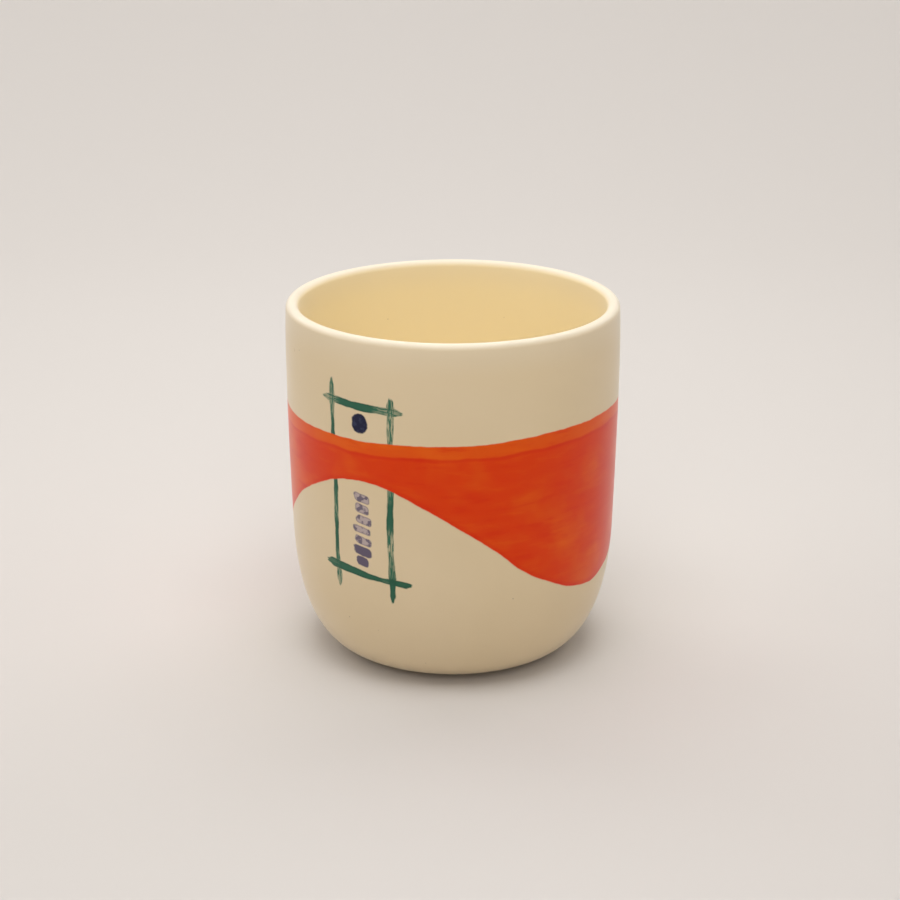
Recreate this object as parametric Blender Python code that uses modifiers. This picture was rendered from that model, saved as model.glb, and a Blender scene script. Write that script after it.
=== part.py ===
"""Handleless ceramic cup.

One thrown and fired body: a nearly straight wall, a wide rounded bottom, a low turned foot ring
and a fully rounded lip.  The whole cup is a single profile turned about the Z axis.

Frame: metres, +Z up, origin at the centre of the circle that the foot ring stands on.
"""

import math

import bpy

# --- Driving dimensions (metres) ------------------------------------------------------------

HEIGHT = 0.089                  # foot to the top of the lip
BODY_DIAMETER = 0.082           # outside, at the widest ring
SHOULDER_DROP = 0.012           # from the top of the lip down to the widest ring
WALL_LEAN = 0.0022              # how far the wall draws in from the widest ring to the bottom
WALL_THICKNESS = 0.0036         # where the wall meets the bottom curve

LIP_THICKNESS = 0.0031          # across the rounded lip
LIP_DRAW_IN = 0.0002            # how far the lip sits inside the widest ring

BOTTOM_CURVE_HEIGHT = 0.033     # height of the rounded bottom, above the foot
FLOOR_THICKNESS = 0.0042        # inside floor to the recess under the cup

FOOT_DIAMETER = 0.048           # outside of the foot ring
FOOT_HEIGHT = 0.001             # how far the foot ring stands below the body
FOOT_RING_WIDTH = 0.0036        # across the ring
FOOT_EDGE = 0.0003              # bevel on both edges of the ring's standing face

# --- Form of the curves ---------------------------------------------------------------------

LEAN_POWER = 1.6                # 1 would be a straight cone, higher keeps the top upright
SHOULDER_POWER = 2.5            # how late the shoulder turns in towards the lip
ROUNDNESS = 2.4                 # superellipse power of the bottom curve, 2 is a true ellipse

# --- Fineness of the mesh -------------------------------------------------------------------

TURN_STEPS = 72
WALL_POINTS = 5
SHOULDER_POINTS = 3
LIP_POINTS = 8
CURVE_POINTS = 10
MERGE_DISTANCE = 0.00001

# --- Material -------------------------------------------------------------------------------

GLAZE_COLOUR = (0.71, 0.60, 0.43, 1.0)
GLAZE_ROUGHNESS = 0.3

# --- Derived sizes --------------------------------------------------------------------------

BODY_RADIUS = BODY_DIAMETER / 2
FOOT_RADIUS = FOOT_DIAMETER / 2
LIP_ROUND = LIP_THICKNESS / 2
LIP_CENTRE = BODY_RADIUS - LIP_DRAW_IN - LIP_ROUND
LIP_START = HEIGHT - LIP_ROUND
WIDEST_Z = HEIGHT - SHOULDER_DROP
CURVE_TOP = FOOT_HEIGHT + BOTTOM_CURVE_HEIGHT
FLOOR_Z = FOOT_HEIGHT + FLOOR_THICKNESS


def spaced(start, end, count):
    """Return count values after start, evenly spaced and ending on end."""
    return [start + (end - start) * (i + 1) / count for i in range(count)]


def wall_radius(z):
    """Outer radius of the wall at height z, as if it ran on down past the bottom curve."""
    if z >= WIDEST_Z:
        turn_in = (z - WIDEST_Z) / (LIP_START - WIDEST_Z)
        return BODY_RADIUS - LIP_DRAW_IN * turn_in ** SHOULDER_POWER
    drop = (WIDEST_Z - z) / WIDEST_Z
    return BODY_RADIUS - WALL_LEAN * drop ** LEAN_POWER


def wall_thickness(z):
    """Thickness of the wall at height z, between the bottom curve and the lip."""
    rise = (z - CURVE_TOP) / (LIP_START - CURVE_TOP)
    return WALL_THICKNESS + (LIP_THICKNESS - WALL_THICKNESS) * max(0.0, rise)


def rounded_bottom(bottom_z, flat_radius, inset):
    """Points from the flat of the bottom up to the wall, along a quarter superellipse."""
    points = []
    for i in range(CURVE_POINTS + 1):
        angle = math.pi / 2 * i / CURVE_POINTS
        across = math.sin(angle) ** (2 / ROUNDNESS)
        up = 1 - math.cos(angle) ** (2 / ROUNDNESS)
        z = bottom_z + (CURVE_TOP - bottom_z) * up
        radius = flat_radius + (wall_radius(z) - inset - flat_radius) * across
        points.append((radius, z))
    return points


def wall_heights():
    """Heights of the wall's rings, from the top of the bottom curve up to the lip."""
    straight = spaced(CURVE_TOP, WIDEST_Z, WALL_POINTS)
    shoulder = spaced(WIDEST_Z, LIP_START, SHOULDER_POINTS)
    return straight + shoulder


def inside_profile():
    """From the middle of the floor inside, out and up to where the lip begins."""
    flat_radius = FOOT_RADIUS - WALL_THICKNESS
    points = [(0.0, FLOOR_Z)]
    points += rounded_bottom(FLOOR_Z, flat_radius, WALL_THICKNESS)
    points += [(wall_radius(z) - wall_thickness(z), z) for z in wall_heights()]
    return points


def lip_profile():
    """The half circle over the lip, from the inside to the outside, without its two ends."""
    points = []
    for i in range(1, LIP_POINTS):
        angle = math.pi * (1 - i / LIP_POINTS)
        radius = LIP_CENTRE + LIP_ROUND * math.cos(angle)
        points.append((radius, LIP_START + LIP_ROUND * math.sin(angle)))
    return points


def outside_profile():
    """From the lip down the wall and round the bottom to the foot ring."""
    points = [(wall_radius(z), z) for z in reversed(wall_heights())]
    points += reversed(rounded_bottom(FOOT_HEIGHT, FOOT_RADIUS, 0.0))
    return points


def foot_profile():
    """Round the foot ring and across the recess under the cup to the axis."""
    inner_radius = FOOT_RADIUS - FOOT_RING_WIDTH
    return [
        (FOOT_RADIUS, FOOT_EDGE),
        (FOOT_RADIUS - FOOT_EDGE, 0.0),
        (inner_radius + FOOT_EDGE, 0.0),
        (inner_radius, FOOT_EDGE),
        (inner_radius, FOOT_HEIGHT),
        (0.0, FOOT_HEIGHT),
    ]


def glaze_material():
    """Cream glaze over pale clay."""
    material = bpy.data.materials.new("cup_glaze")
    material.use_nodes = True
    shader = material.node_tree.nodes["Principled BSDF"]
    shader.inputs["Base Color"].default_value = GLAZE_COLOUR
    shader.inputs["Roughness"].default_value = GLAZE_ROUGHNESS
    shader.inputs["Metallic"].default_value = 0.0
    return material


def turned_object(name, profile, material, collection):
    """Turn a profile of (radius, height) pairs about Z into one closed body."""
    vertices = [(radius, 0.0, z) for radius, z in profile]
    edges = [(i, i + 1) for i in range(len(profile) - 1)]
    mesh = bpy.data.meshes.new(name)
    mesh.from_pydata(vertices, edges, [])
    mesh.materials.append(material)
    turned = bpy.data.objects.new(name, mesh)
    collection.objects.link(turned)
    screw = turned.modifiers.new("turn", "SCREW")
    screw.axis = "Z"
    screw.angle = 2 * math.pi
    screw.steps = TURN_STEPS
    screw.render_steps = TURN_STEPS
    screw.use_merge_vertices = True
    screw.merge_threshold = MERGE_DISTANCE
    screw.use_smooth_shade = True
    return turned


def main():
    for old in list(bpy.data.objects):
        bpy.data.objects.remove(old, do_unlink=True)
    collection = bpy.data.collections.new("ceramic_cup")
    bpy.context.scene.collection.children.link(collection)
    profile = inside_profile() + lip_profile() + outside_profile() + foot_profile()
    turned_object("cup_body", profile, glaze_material(), collection)


main()
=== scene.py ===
"""Looks of the handleless ceramic cup.

The cup is one fired body, so it is one piece here: a fine turned surface that stands for the CAD
node cup_body, with its glaze and its brush painting in one procedural material.

The painting is laid out on the unrolled wall.  "across" is the distance round the wall in
millimetres from the front, positive towards +X, and "up" is the height above the foot in
millimetres.  Both are kept in a UV map, so the material reads them from the mesh.
"""

import math

import bpy
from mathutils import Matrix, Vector, noise


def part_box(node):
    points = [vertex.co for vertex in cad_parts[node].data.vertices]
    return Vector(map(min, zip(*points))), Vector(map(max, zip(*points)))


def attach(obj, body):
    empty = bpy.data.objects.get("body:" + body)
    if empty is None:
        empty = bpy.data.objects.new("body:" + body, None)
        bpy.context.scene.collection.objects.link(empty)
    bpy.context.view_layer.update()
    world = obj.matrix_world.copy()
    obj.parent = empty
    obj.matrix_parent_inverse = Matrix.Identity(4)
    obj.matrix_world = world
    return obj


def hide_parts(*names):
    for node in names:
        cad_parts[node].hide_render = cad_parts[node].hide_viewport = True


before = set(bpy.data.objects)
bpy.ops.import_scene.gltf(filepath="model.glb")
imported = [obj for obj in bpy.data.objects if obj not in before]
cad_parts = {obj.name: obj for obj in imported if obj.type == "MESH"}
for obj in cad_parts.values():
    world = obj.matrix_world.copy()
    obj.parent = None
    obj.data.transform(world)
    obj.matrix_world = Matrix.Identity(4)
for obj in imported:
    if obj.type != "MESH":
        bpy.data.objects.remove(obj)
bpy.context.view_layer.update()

NODE = "cup_body"
LOWEST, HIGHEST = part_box(NODE)
MM = 0.001

# --- The cup's section, in metres, as the CAD has it ----------------------------------------

HEIGHT = HIGHEST.z
BODY_RADIUS = (HIGHEST.x - LOWEST.x) / 2
SHOULDER_DROP = 0.012
WALL_LEAN = 0.0022
LEAN_POWER = 1.6
SHOULDER_POWER = 2.5
WALL_THICKNESS = 0.0036
LIP_ROUND = 0.00155
LIP_DRAW_IN = 0.0002
CURVE_TOP = 0.034
ROUNDNESS = 2.4
FLOOR_Z = 0.0052
FOOT_RADIUS = 0.024
FOOT_HEIGHT = 0.001
FOOT_RING_WIDTH = 0.0036
FOOT_EDGE = 0.0003

LIP_CENTRE = BODY_RADIUS - LIP_DRAW_IN - LIP_ROUND
LIP_START = HEIGHT - LIP_ROUND
WIDEST_Z = HEIGHT - SHOULDER_DROP
HALF_ROUND = math.pi * BODY_RADIUS / MM   # half the way round the wall, in millimetres
TALL = HEIGHT / MM                        # and the cup's height in millimetres

# --- Hand-made unevenness, in metres --------------------------------------------------------

WALL_WAVER = 0.00012            # how far the wall wanders inside the true circle
RIM_WAVER = 0.00015             # how far the lip dips below its full height
WAVER_SCALE = 1.3               # waves for each body radius, round the wall and up it
RIM_WAVER_POWER = 3             # how quickly the dip fades below the lip

# --- Fineness of the mesh -------------------------------------------------------------------

TURNS = 256                     # steps round the cup
WALL_STEPS = 40
CURVE_STEPS = 30
LIP_STEPS = 16
FOOT_EDGE_STEPS = 4
FLAT_STEPS = 6                  # across the floor inside and the recess below
BAKE_MARGIN = 0.01              # left free along the edges of the map for baking


# --- The cup's surface ----------------------------------------------------------------------

def wall_radius(z):
    """Outer radius at height z, as if the wall ran on down past the rounded bottom."""
    if z >= WIDEST_Z:
        turn_in = (z - WIDEST_Z) / (LIP_START - WIDEST_Z)
        return BODY_RADIUS - LIP_DRAW_IN * turn_in ** SHOULDER_POWER
    return BODY_RADIUS - WALL_LEAN * ((WIDEST_Z - z) / WIDEST_Z) ** LEAN_POWER


def wall_thickness(z):
    """Thickness at height z, between the rounded bottom and the lip."""
    rise = max(0.0, (z - CURVE_TOP) / (LIP_START - CURVE_TOP))
    return WALL_THICKNESS + (2 * LIP_ROUND - WALL_THICKNESS) * rise


def rounded_bottom(bottom_z, flat_radius, inset):
    """From the flat of the bottom up to the wall, along a quarter superellipse."""
    points = []
    for i in range(CURVE_STEPS + 1):
        angle = math.pi / 2 * i / CURVE_STEPS
        across = math.sin(angle) ** (2 / ROUNDNESS)
        z = bottom_z + (CURVE_TOP - bottom_z) * (1 - math.cos(angle) ** (2 / ROUNDNESS))
        points.append((flat_radius + (wall_radius(z) - inset - flat_radius) * across, z))
    return points


def arc(centre, radius, start, end, count):
    """Points along an arc from one angle to the other, in degrees, both ends included."""
    points = []
    for i in range(count + 1):
        angle = math.radians(start + (end - start) * i / count)
        points.append((centre[0] + radius * math.cos(angle), centre[1] + radius * math.sin(angle)))
    return points


def cup_profile():
    """Half the cup's section as (radius, height), from the floor inside to the recess below."""
    heights = [CURVE_TOP + (LIP_START - CURVE_TOP) * i / WALL_STEPS for i in range(1, WALL_STEPS)]
    floor_radius = FOOT_RADIUS - WALL_THICKNESS
    recess_radius = FOOT_RADIUS - FOOT_RING_WIDTH
    points = [(floor_radius * i / FLAT_STEPS, FLOOR_Z) for i in range(FLAT_STEPS)]
    points += rounded_bottom(FLOOR_Z, floor_radius, WALL_THICKNESS)
    points += [(wall_radius(z) - wall_thickness(z), z) for z in heights]
    points += arc((LIP_CENTRE, LIP_START), LIP_ROUND, 180, 0, LIP_STEPS)
    points += [(wall_radius(z), z) for z in reversed(heights)]
    points += reversed(rounded_bottom(FOOT_HEIGHT, FOOT_RADIUS, 0.0)[1:])
    points += arc((FOOT_RADIUS - FOOT_EDGE, FOOT_EDGE), FOOT_EDGE, 0, -90, FOOT_EDGE_STEPS)
    points += arc((recess_radius + FOOT_EDGE, FOOT_EDGE), FOOT_EDGE, -90, -180, FOOT_EDGE_STEPS)
    points += [(recess_radius * i / FLAT_STEPS, FOOT_HEIGHT) for i in range(FLAT_STEPS, -1, -1)]
    return points


def wavered(profile):
    """Rings of the turned surface, moved a little inwards and down as a hand leaves them."""
    rings = []
    for radius, z in profile:
        share = min(1.0, z / CURVE_TOP) * min(1.0, radius / FOOT_RADIUS)
        ring = []
        for turn in range(TURNS):
            angle = 2 * math.pi * (turn / TURNS - 0.5)
            side, front = math.sin(angle), -math.cos(angle)
            around = Vector((side, front, z / BODY_RADIUS)) * WAVER_SCALE
            shrink = WALL_WAVER * share * (0.5 + 0.5 * noise.noise(around))
            dip = RIM_WAVER * (z / HEIGHT) ** RIM_WAVER_POWER * (0.5 - 0.5 * noise.noise(around))
            ring.append(((radius - shrink) * side, (radius - shrink) * front, z - dip))
        rings.append(ring)
    return rings


def cup_mesh():
    """The turned surface, closed, with its unrolled coordinates and a map for baking."""
    profile = cup_profile()
    lengths = [0.0]
    for (r0, z0), (r1, z1) in zip(profile, profile[1:]):
        lengths.append(lengths[-1] + math.hypot(r1 - r0, z1 - z0))
    last = len(profile) - 1
    rings = wavered(profile[1:last])
    vertices = [(0.0, 0.0, profile[0][1])]
    for ring in rings:
        vertices += ring
    vertices.append((0.0, 0.0, profile[last][1]))

    def index(i, turn):
        if i == 0:
            return 0
        return len(vertices) - 1 if i == last else 1 + (i - 1) * TURNS + turn % TURNS

    bake_width = 1 - 2 * BAKE_MARGIN
    faces, unrolled, baking = [], [], []
    for i in range(last):
        for turn in range(TURNS):
            corners = [(i, turn), (i, turn + 1), (i + 1, turn + 1), (i + 1, turn)]
            if i == 0:
                corners.pop(0)
            if i == last - 1:
                corners.pop(2)
            faces.append([index(*corner) for corner in corners])
            for ring, place in corners:
                share = place / TURNS
                unrolled += [(share - 0.5) * 2 * HALF_ROUND, profile[ring][1] / MM]
                down = lengths[ring] / lengths[-1]
                baking += [BAKE_MARGIN + bake_width * share, BAKE_MARGIN + bake_width * down]
    mesh = bpy.data.meshes.new("cup")
    mesh.from_pydata(vertices, [], faces)
    mesh.uv_layers.new(name="unrolled").uv.foreach_set("vector", unrolled)
    mesh.uv_layers.new(name="OFBake").uv.foreach_set("vector", baking)
    mesh.shade_smooth()
    return mesh


# --- Short calls for building a material's nodes --------------------------------------------

class Paint:
    """A value that varies over the surface: the output of one node, with arithmetic on it."""

    tree = None

    def __init__(self, socket):
        self.socket = socket

    @classmethod
    def node(cls, kind, inputs, output=0, **settings):
        """Add a node, feed its inputs with numbers or Paints, and return one output."""
        made = cls.tree.nodes.new(kind)
        for name, value in settings.items():
            setattr(made, name, value)
        for key, value in inputs.items():
            if isinstance(value, Paint):
                cls.tree.links.new(value.socket, made.inputs[key])
            else:
                made.inputs[key].default_value = value
        return cls(made.outputs[output])

    def math(self, operation, *others):
        inputs = dict(enumerate((self,) + others))
        return Paint.node("ShaderNodeMath", inputs, operation=operation)

    def __add__(self, other):
        return self.math("ADD", other)

    def __sub__(self, other):
        return self.math("SUBTRACT", other)

    def __rsub__(self, other):
        return (self * -1.0).math("ADD", other)

    def __mul__(self, other):
        return self.math("MULTIPLY", other)

    def __truediv__(self, other):
        return self.math("DIVIDE", other)

    def size(self):
        return self.math("ABSOLUTE")

    def smaller(self, other):
        return self.math("MINIMUM", other)

    def larger(self, other):
        return self.math("MAXIMUM", other)

    def rise(self, low, high):
        """0 below low, 1 above high, smooth between; low may be above high."""
        if low > high:
            return 1.0 - self.rise(high, low)
        inputs = {"Value": self, "From Min": low, "From Max": high}
        return Paint.node("ShaderNodeMapRange", inputs, interpolation_type="SMOOTHSTEP")


def blend(share, below, above):
    """Colour above laid over colour below, where share is 1; inputs 6 and 7 take colours."""
    inputs = {"Factor": share, 6: below, 7: above}
    return Paint.node("ShaderNodeMix", inputs, output=2, data_type="RGBA")


def vector(x, y, z=0.0):
    """Coordinates put together from numbers and Paints."""
    return Paint.node("ShaderNodeCombineXYZ", {0: x, 1: y, 2: z})


def stretched(coordinates, scale):
    """Coordinates multiplied axis by axis."""
    inputs = {0: coordinates, 1: scale}
    return Paint.node("ShaderNodeVectorMath", inputs, operation="MULTIPLY")


def mottle(coordinates, scale, detail=2.0, roughness=0.5):
    """Soft noise around 0.5, with scale patches for each unit of the coordinates."""
    inputs = {"Vector": coordinates, "Scale": scale, "Detail": detail, "Roughness": roughness}
    return Paint.node("ShaderNodeTexNoise", inputs)


# --- Colours (linear RGB) and gloss ---------------------------------------------------------

CREAM = (0.76, 0.615, 0.405, 1.0)
CREAM_WARM = (0.745, 0.60, 0.385, 1.0)
# Painted bounce light: the inside glaze is made lighter and yellower than the outside, standing in
# for light bounced round the inside.
CREAM_INSIDE_BOUNCE_LIGHT = (0.89, 0.745, 0.445, 1.0)
# Painted highlight: paler glaze over the lip, where the light from above falls.
CREAM_LIP_HIGHLIGHT = (0.79, 0.70, 0.55, 1.0)
SPECK = (0.22, 0.15, 0.09, 1.0)
BARE_CLAY = (0.70, 0.56, 0.40, 1.0)
BARE_CLAY_DARK = (0.60, 0.46, 0.32, 1.0)
ORANGE = (0.73, 0.046, 0.001, 1.0)
ORANGE_THIN = (0.79, 0.110, 0.004, 1.0)
ORANGE_DEEP = (0.69, 0.024, 0.001, 1.0)
GREEN = (0.016, 0.140, 0.083, 1.0)
GREEN_DEEP = (0.003, 0.090, 0.053, 1.0)
NAVY = (0.014, 0.016, 0.045, 1.0)
NAVY_THIN = (0.035, 0.040, 0.085, 1.0)
LILAC = (0.46, 0.37, 0.37, 1.0)
LILAC_MARK = (0.055, 0.045, 0.12, 1.0)

GLAZE_SPECULAR = 0.12
GLAZE_ROUGHNESS = 0.26
GLAZE_SHEEN = 0.16
GLAZE_SHEEN_ROUGHNESS = 0.4
BUMP_STRENGTH = 0.6
BUMP_DISTANCE = 0.0001                     # metres for one unit of the height below

# --- The painting, in millimetres on the unrolled wall --------------------------------------
#
# Ordinary brushwork in the real cup's palette: an orange band with wavy borders and, at each of
# its narrow places, a hatch of green strokes with a navy dab and a column of lilac dabs.

GROUPS = 2                                 # narrow places round the wall
GROUP_PITCH = 2 * HALF_ROUND / GROUPS
FRONT_GROUP = -23.0                        # across, at the middle of the front group

BAND_TOP = 65.0                            # mean height of the upper border
BAND_TOP_SWAY = 1.4                        # and how far it waves up and down
BAND_FOOT = 38.5                           # mean height of the lower border
BAND_FOOT_SWAY = 15.5                      # and how far it waves
BAND_LAP = 3.1                             # how far the thin top pass reaches down

# Green strokes: start and end (across from the group's middle, up), half width, dryness.
STROKES = [
    ((-8.3, 78.0), (-7.7, 25.5), 0.74, 0.30),
    ((8.2, 75.5), (7.6, 24.0), 0.90, 0.40),
    ((-11.5, 73.4), (11.0, 71.8), 0.95, 0.25),
    ((-12.0, 31.2), (13.0, 29.4), 0.90, 0.20),
]

DAB_HALF = (2.2, 2.4)                      # half width and half height of the navy dab
DAB_CORNER = 1.9
DAB_UP = 68.4                              # height of its middle
DASH_HALF = (2.1, 1.10)                    # and of one lilac dab
DASH_CORNER = 0.8
DASH_LEAN = 0.18                           # how steeply each one slopes down towards +X
DASH_PITCH = 2.7                           # from one to the next, upwards
DASH_COUNT = 7
DASH_FOOT = 33.6                           # height of the lowest lilac dab


def brush_stroke(across, up, group, start, end, half_width, dryness, seed):
    """Cover and weight of one stroke of a small round brush that runs dry here and there."""
    length = math.dist(start, end)
    unit = ((end[0] - start[0]) / length, (end[1] - start[1]) / length)
    x, y = across - start[0], up - start[1]
    along = x * unit[0] + y * unit[1]
    aside = y * unit[0] - x * unit[1]
    offset = group * 5.3 + seed * 7.1
    # The path drifts and swells along the stroke.
    drift = mottle(vector(along * 0.06, offset), 1.0, 1.0) - 0.5
    swell = mottle(vector(along * 0.13, offset + 40.0), 1.0, 1.5) - 0.5
    # The ends taper, and every edge is ragged.
    ribbon = vector(along * 0.30, aside * 1.1, offset)
    ragged = mottle(ribbon, 1.4, 3.0) - 0.5
    ends = along.smaller(length - along) + ragged * 1.4
    width = (swell * 1.3 + 1.0) * half_width * (ends.rise(-0.4, 2.2) * 0.6 + 0.4)
    inside = width - (aside + drift * 1.6).size() + ragged * 0.45
    body = inside.rise(-0.12, 0.20) * ends.rise(-0.3, 0.4)
    # Where the brush holds little paint, its bristles leave gaps.
    charge = mottle(vector(along * 0.10, offset + 80.0), 1.0, 1.0).rise(0.38, 0.60)
    bristle = mottle(vector(along * 0.35, aside * 3.2, offset), 1.0, 3.0, 0.6).rise(0.58, 0.44)
    thin = (1.0 - charge) * (1.0 - bristle) * dryness * 1.6
    cover = body * (1.0 - thin.smaller(0.85))
    return cover, cover * (charge * 0.55 + inside.rise(0.75, 0.15) * 0.35)


def rounded_dab(x, y, half, corner):
    """Distance inside a rounded rectangle, from its own middle."""
    x = (x.size() - (half[0] - corner)).larger(0.0)
    y = (y.size() - (half[1] - corner)).larger(0.0)
    return corner - (x * x + y * y).math("SQRT")


def lay_glaze(solid, inwards, lip):
    """Cream glaze with faint pooling and iron specks, lighter and yellower inside as painted bounce
    light, and paler over the lip as a painted highlight.
    """
    pooled = mottle(solid, 0.035, 1.5).rise(0.30, 0.75)
    colour = blend(pooled, CREAM, CREAM_WARM)
    # Painted bounce light: lighter and yellower on the inside wall and floor.
    colour = blend(inwards.rise(-8.0, 8.0), colour, CREAM_INSIDE_BOUNCE_LIGHT)
    # Painted highlight over the lip.
    colour = blend(lip, colour, CREAM_LIP_HIGHLIGHT)
    inputs = {"Vector": solid, "Scale": 0.20, "Randomness": 1.0}
    nearest = Paint.node("ShaderNodeTexVoronoi", inputs)
    chosen = mottle(solid, 0.13, 1.0).rise(0.57, 0.60)
    speck = nearest.rise(0.045, 0.020) * chosen
    return blend(speck * 0.6, colour, SPECK), speck


def lay_band(colour, local, up, solid):
    """Orange wash: thin along its top, watery in places, darker where it pooled or lapped."""
    phase = local * (2 * math.pi / GROUP_PITCH)
    sway = phase.math("COSINE")
    slope = phase.math("SINE") * (BAND_FOOT_SWAY * 2 * math.pi / GROUP_PITCH)
    hand = (mottle(solid, 0.045, 1.0) - 0.5) * 3.5
    ragged = (mottle(solid, 0.30, 2.0) - 0.5) * 0.5
    foot = sway * BAND_FOOT_SWAY + BAND_FOOT + hand
    top = BAND_TOP - sway * BAND_TOP_SWAY + (mottle(solid, 0.03, 1.0) - 0.5) * 3.0
    # Measured square to the border, which is steep in places.
    above = (up - foot) / (slope * slope + 1.0).math("SQRT") + ragged
    below = top - up + ragged
    cover = above.smaller(below).rise(-0.15, 0.22)
    clouds = mottle(solid, 0.055, 3.0)
    streaks = mottle(stretched(solid, (0.5, 0.5, 2.4)), 0.16, 4.0, 0.55)
    lap_edge = below + (mottle(solid, 0.09, 1.0) - 0.5) * 2.0
    thin = lap_edge.rise(BAND_LAP + 0.35, BAND_LAP - 0.35) * 0.70
    watery = clouds.rise(0.48, 0.68) * 0.60 + streaks.rise(0.52, 0.72) * 0.30
    wash = blend((thin + watery).smaller(1.0), ORANGE, ORANGE_THIN)
    lap = (lap_edge - BAND_LAP - 0.4).size().rise(0.7, 0.0) * 0.55
    pooled = above.rise(1.6, 0.3) * 0.50 + streaks.rise(0.48, 0.30) * 0.45 + lap
    wash = blend(pooled.smaller(1.0), wash, ORANGE_DEEP)
    return blend(cover, colour, wash), cover


def lay_strokes(colour, local, up, group):
    """The hatch of green strokes, each a little different in every group."""
    cover, weight = None, None
    for seed, stroke in enumerate(STROKES, 1):
        one, heavy = brush_stroke(local, up, group, *stroke, seed)
        weight = heavy if weight is None else weight + heavy
        cover = one if cover is None else cover.larger(one)
    paint = blend(weight.rise(0.10, 0.95), GREEN, GREEN_DEEP)
    return blend(cover * 0.97, colour, paint)


def lay_dashes(colour, local, up, group, solid):
    """A column of quick lilac dabs, no two alike, the lowest ones nearly navy."""
    wobble = (mottle(solid, 0.45, 2.0) - 0.5) * 1.1
    rise = (up - DASH_FOOT + local * DASH_LEAN) / DASH_PITCH + 0.5
    row = rise.math("FLOOR")
    own = vector(row, group.math("ROUND"))
    chance = Paint.node("ShaderNodeTexWhiteNoise", {"Vector": own}, output="Color")
    one, two, three = (Paint.node("ShaderNodeSeparateXYZ", {0: chance}, output=i) for i in range(3))
    x = (local + wobble + (one - 0.5) * 1.1) / (two * 0.5 + 0.75)
    y = (rise - row - 0.5) * DASH_PITCH
    inside = rounded_dab(x, y, DASH_HALF, DASH_CORNER) + wobble * 0.55 + (three - 0.5) * 0.3
    cover = inside.rise(-0.12, 0.25) * rise.rise(0.0, 0.05)
    cover = cover * rise.rise(DASH_COUNT, DASH_COUNT - 0.05)
    rims = inside.rise(0.50, 0.10) * 0.55
    heavy = rise.rise(2.1, 1.9)
    patchy = mottle(solid, 0.75, 2.0).rise(0.45, 0.60) * 0.85
    paint = blend(rims.larger(heavy * 0.95).larger(patchy), LILAC, LILAC_MARK)
    return blend(cover * 0.92, colour, paint)


def lay_dab(colour, local, up, solid):
    """One loaded dab of navy above the band."""
    ragged = (mottle(solid, 0.55, 2.0) - 0.5) * 0.8
    inside = rounded_dab(local, up - DAB_UP, DAB_HALF, DAB_CORNER) + ragged
    thin = mottle(solid, 0.8, 2.0).rise(0.45, 0.70)
    return blend(inside.rise(-0.15, 0.25), colour, blend(thin, NAVY, NAVY_THIN))


def cup_material():
    """Everything that the fired surface shows, in one material."""
    material = bpy.data.materials.new("painted_glaze")
    material.use_nodes = True
    Paint.tree = material.node_tree
    shader = material.node_tree.nodes["Principled BSDF"]
    solid = Paint.node("ShaderNodeTexCoord", {}, output="Object")
    solid = stretched(solid, (1 / MM,) * 3)
    place = Paint.node("ShaderNodeUVMap", {}, uv_map="unrolled")
    across = Paint.node("ShaderNodeSeparateXYZ", {0: place}, output=0)
    up = Paint.node("ShaderNodeSeparateXYZ", {0: place}, output=1)
    local = (across - FRONT_GROUP).math("WRAP", GROUP_PITCH / 2, -GROUP_PITCH / 2)
    group = (across - local) / GROUP_PITCH
    normal = Paint.node("ShaderNodeNewGeometry", {}, output="Normal")
    upright = Paint.node("ShaderNodeSeparateXYZ", {0: normal}, output=2)
    # How squarely the surface faces away from the axis, times its distance from it: about 41 on
    # the outside of the wall and -37 on the inside.
    inputs = {0: normal, 1: stretched(solid, (1.0, 1.0, 0.0))}
    facing = Paint.node("ShaderNodeVectorMath", inputs, output="Value", operation="DOT_PRODUCT")
    # Positive on the inside wall and floor, where lay_glaze paints bounce light.
    inwards = upright * 10.0 - facing
    # Painted highlight: paler over the top 9 mm, most where the lip faces up towards the light above.
    lip = up.rise(TALL - 9.0, TALL - 1.0) * (upright.rise(0.20, 0.85) * 0.7 + 0.3)

    colour, speck = lay_glaze(solid, inwards, lip)
    painted = lay_strokes(colour, local, up, group)
    painted, band = lay_band(painted, local, up, solid)
    painted = lay_dashes(painted, local, up, group, solid)
    painted = lay_dab(painted, local, up, solid)
    outside = facing.rise(10.0, 11.0)
    colour = blend(outside, colour, painted)

    glaze_line = (mottle(solid, 0.5, 2.0) - 0.5) * 0.5
    foot = (up + glaze_line).rise(0.95, 0.75) * upright.rise(0.5, 0.3)
    grain = mottle(solid, 2.5, 3.0, 0.7)
    clay = blend(grain.rise(0.40, 0.65), BARE_CLAY, BARE_CLAY_DARK)
    colour = blend(foot, colour, clay)

    roughness = mottle(solid, 0.12, 2.0) * 0.06 + GLAZE_ROUGHNESS + outside * band * 0.03 + foot * 0.5
    ripple = mottle(solid, 0.06, 1.0) * 0.35 + mottle(solid, 0.6, 2.0) * 0.012
    height = ripple - speck * 0.10 + foot * grain * 0.25
    inputs = {"Height": height, "Strength": BUMP_STRENGTH, "Distance": BUMP_DISTANCE}
    bump = Paint.node("ShaderNodeBump", inputs, output="Normal")
    links = material.node_tree.links
    links.new(colour.socket, shader.inputs["Base Color"])
    links.new(roughness.socket, shader.inputs["Roughness"])
    links.new(bump.socket, shader.inputs["Normal"])
    shader.inputs["Specular IOR Level"].default_value = GLAZE_SPECULAR
    shader.inputs["Sheen Weight"].default_value = GLAZE_SHEEN
    shader.inputs["Sheen Roughness"].default_value = GLAZE_SHEEN_ROUGHNESS
    return material


def cup():
    """The fired body, as the one piece that stands for the CAD's node."""
    piece = bpy.data.objects.new("cup", cup_mesh())
    bpy.context.scene.collection.objects.link(piece)
    piece.data.materials.append(cup_material())
    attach(piece, "root")
    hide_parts(NODE)


# --- The studio -----------------------------------------------------------------------------

FLOOR_COLOUR = (0.635, 0.60, 0.567, 1.0)


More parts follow.
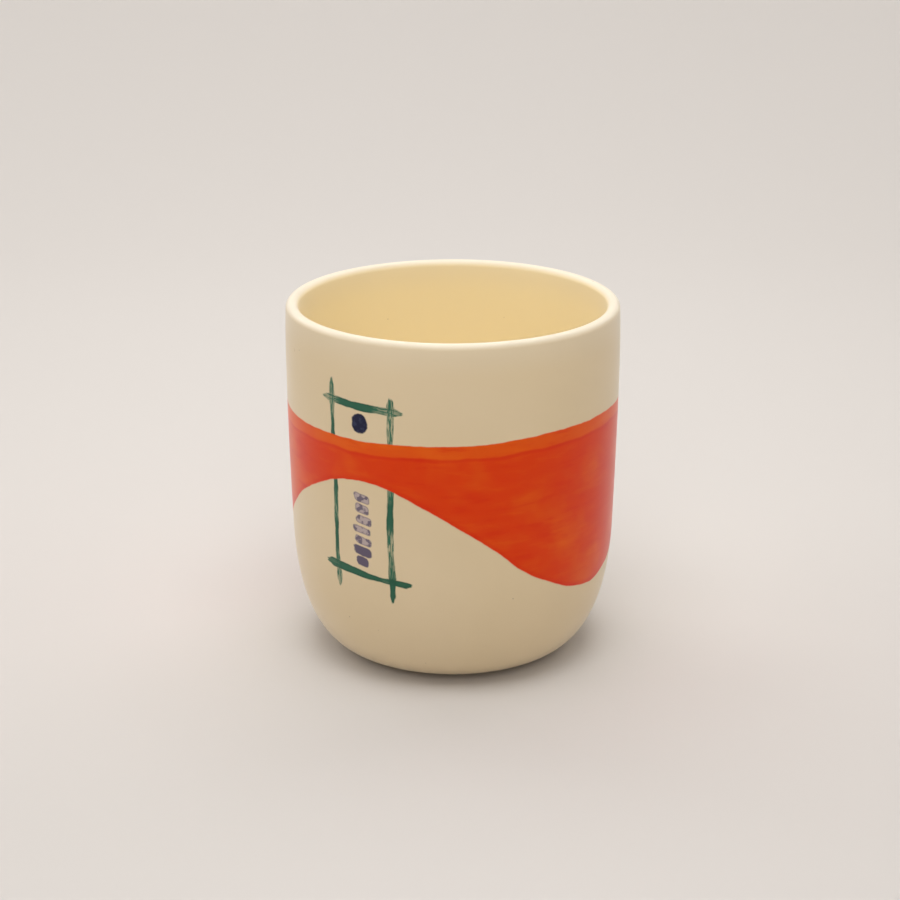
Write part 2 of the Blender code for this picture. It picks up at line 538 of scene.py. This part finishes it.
def backdrop():
    """A round floor that curves up into a wall on every side, so each view has it behind."""
    radius, bend, tall, centre = 1.4, 0.6, 1.6, (0.0, -0.4, 0.0)
    bend_steps, turn_steps = 24, 96
    section = [(0.0, 0.0)] + arc((radius - bend, bend), bend, -90, 0, bend_steps) + [(radius, tall)]
    mesh = bpy.data.meshes.new("backdrop")
    edges = [(i, i + 1) for i in range(len(section) - 1)]
    mesh.from_pydata([(across, 0.0, up) for across, up in section], edges, [])
    bowl = bpy.data.objects.new("backdrop", mesh)
    bowl.location = centre
    bpy.context.scene.collection.objects.link(bowl)
    turn = bowl.modifiers.new("turn", "SCREW")
    turn.steps = turn.render_steps = turn_steps
    turn.use_merge_vertices = True
    turn.merge_threshold = 0.0001
    material = bpy.data.materials.new("backdrop_paper")
    material.use_nodes = True
    shader = material.node_tree.nodes["Principled BSDF"]
    shader.inputs["Base Color"].default_value = FLOOR_COLOUR
    shader.inputs["Roughness"].default_value = 0.9
    shader.inputs["Specular IOR Level"].default_value = 0.0
    mesh.materials.append(material)


def softbox(name, place, size, power, target):
    """A square area light that faces a target."""
    light = bpy.data.lights.new(name, "AREA")
    light.size = size
    light.energy = power
    lamp = bpy.data.objects.new(name, light)
    bpy.context.scene.collection.objects.link(lamp)
    lamp.location = place
    lamp.rotation_euler = (Vector(target) - Vector(place)).to_track_quat("-Z", "Y").to_euler()


def studio():
    """Soft light from above and all round, a little stronger from the left."""
    ambient = 0.2
    world = bpy.data.worlds.new("studio")
    world.use_nodes = True
    sky = world.node_tree.nodes["Background"]
    sky.inputs["Color"].default_value = (1.0, 1.0, 1.0, 1.0)
    sky.inputs["Strength"].default_value = ambient
    bpy.context.scene.world = world
    cup_middle, floor_behind = (0.0, 0.0, HEIGHT / 2), (0.0, 0.2, 0.0)
    softbox("over", (0.0, -0.15, 0.45), 0.25, 1.0, (0.0, 0.0, 0.0))
    softbox("top", (0.0, 0.25, 0.45), 0.35, 0.68, (0.0, 0.25, 0.0))
    softbox("behind", (0.0, 0.80, 0.80), 0.60, 1.7, (0.0, 0.9, 0.2))
    softbox("front", (0.0, -1.25, 0.85), 0.80, 5.0, cup_middle)
    for name, side, beside, beyond in (("left", -1, 1.0, 1.85), ("right", 1, 0.5, 1.5)):
        softbox(name + "_side", (0.65 * side, 0.0, 0.35), 0.45, beside, cup_middle)
        softbox(name + "_back", (0.60 * side, 0.60, 0.60), 0.50, beyond, floor_behind)
    bpy.context.scene.view_settings.view_transform = "Standard"


def camera():
    """Looks along +Y and down at the cup, from the photograph's height and distance."""
    distance, elevation, lens = 0.55, math.radians(19.03), 88.2
    aim_aside, aim_share = -0.0007, 0.561     # metres, and share of the cup's height
    aim = Vector((aim_aside, 0.0, aim_share * HEIGHT))
    back = Vector((0.0, -math.cos(elevation), math.sin(elevation)))
    data = bpy.data.cameras.new("camera")
    data.lens = lens
    data.sensor_width = 36.0
    view = bpy.data.objects.new("camera", data)
    bpy.context.scene.collection.objects.link(view)
    view.location = aim + back * distance
    view.rotation_euler = (-back).to_track_quat("-Z", "Y").to_euler()
    bpy.context.scene.camera = view


camera()
studio()
backdrop()
cup()
